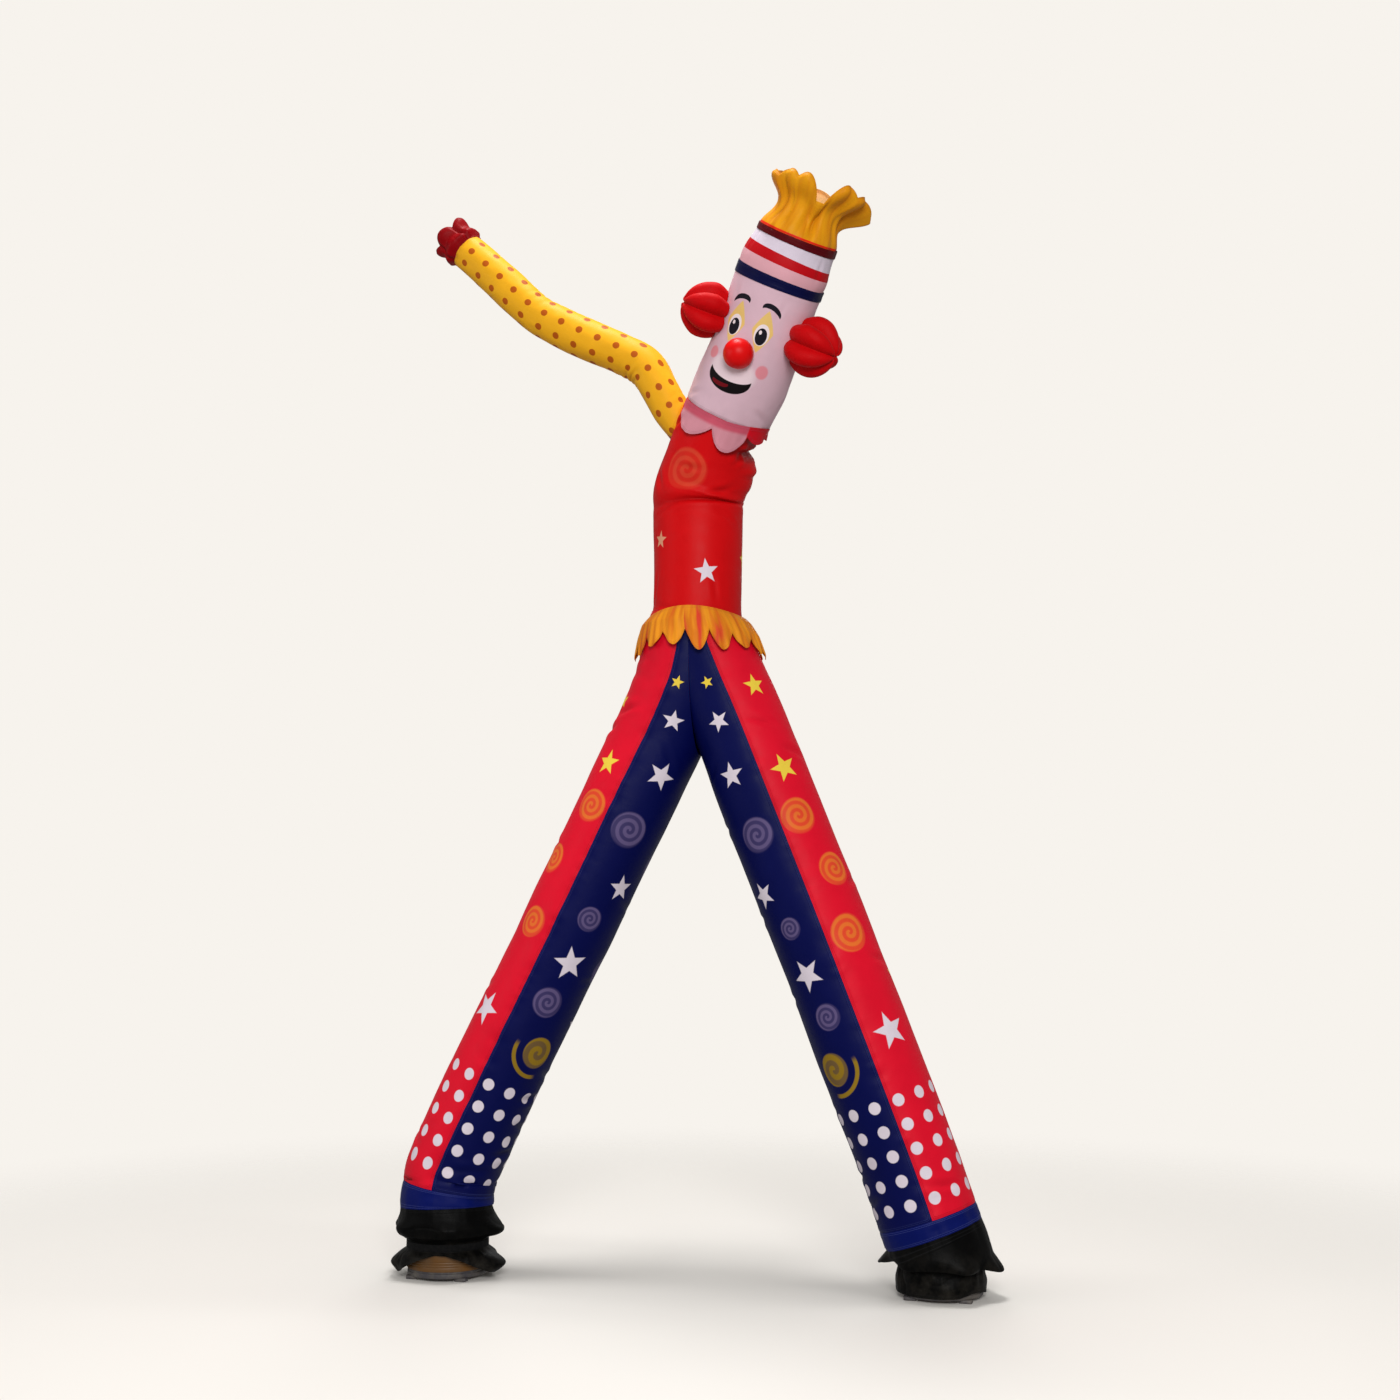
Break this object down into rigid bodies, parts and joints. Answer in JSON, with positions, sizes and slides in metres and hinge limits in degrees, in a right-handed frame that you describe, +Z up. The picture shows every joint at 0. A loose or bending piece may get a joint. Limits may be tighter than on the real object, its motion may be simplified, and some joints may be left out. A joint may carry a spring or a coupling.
{
  "type": "inflatable air dancer with blowers",
  "caption": "Tall inflatable clown figure of thin sewn cloth, raised arm, open crown and waist frill, on two spread tube legs strapped over round floor blowers.",
  "frame": {"origin": "on the floor, under the middle of the object's bounding box", "axes": "+Z up, the face looks along -Y, the raised arm reaches out to -X"},
  "size_m": [2.8692, 1.194, 5.2444],
  "materials": {
    "red_cloth": "thin woven nylon, slight sheen",
    "navy_cloth": "thin woven nylon, slight sheen",
    "blue_cloth": "thin woven nylon, slight sheen",
    "amber_cloth": "thin woven nylon, slight sheen",
    "orange_cloth": "thin woven nylon, slight sheen",
    "yellow_cloth": "thin woven nylon with printed dots",
    "pink_cloth": "thin woven nylon with a printed face",
    "mauve_cloth": "thin woven nylon",
    "striped_cloth": "thin woven nylon with printed stripes",
    "maroon_cloth": "thin woven nylon",
    "dark_red_cloth": "thin woven nylon",
    "bright_red_cloth": "thin woven nylon, puffed tight",
    "black_cloth": "plain coated cloth, gathered",
    "black_webbing": "flat woven webbing",
    "black_plastic": "moulded, fine texture",
    "grey_plastic": "moulded, fine texture",
    "ochre_plastic": "moulded, worn satin"
  },
  "bodies": {
    "root": {"arm_l": "yellow_cloth", "arm_r": "yellow_cloth", "blower_base_l": "grey_plastic", "blower_base_r": "grey_plastic", "blower_drum_l": "ochre_plastic", "blower_drum_r": "ochre_plastic", "collar": "mauve_cloth", "crown": "amber_cloth", "crown_band": "maroon_cloth", "cuff_l": "black_cloth", "cuff_r": "black_cloth", "glove_l": "dark_red_cloth", "glove_r": "dark_red_cloth", "hair_l": "red_cloth", "hair_r": "red_cloth", "hat": "striped_cloth", "hat_band": "navy_cloth", "head": "pink_cloth", "hem_l": "blue_cloth", "hem_r": "blue_cloth", "inlet_guard_l": "black_plastic", "inlet_guard_r": "black_plastic", "leg_l_navy": "navy_cloth", "leg_l_red": "red_cloth", "leg_r_navy": "navy_cloth", "leg_r_red": "red_cloth", "nose": "bright_red_cloth", "strap_l": "black_webbing", "strap_r": "black_webbing", "torso": "red_cloth", "waist_frill": "orange_cloth"}
  },
  "joints": []
}
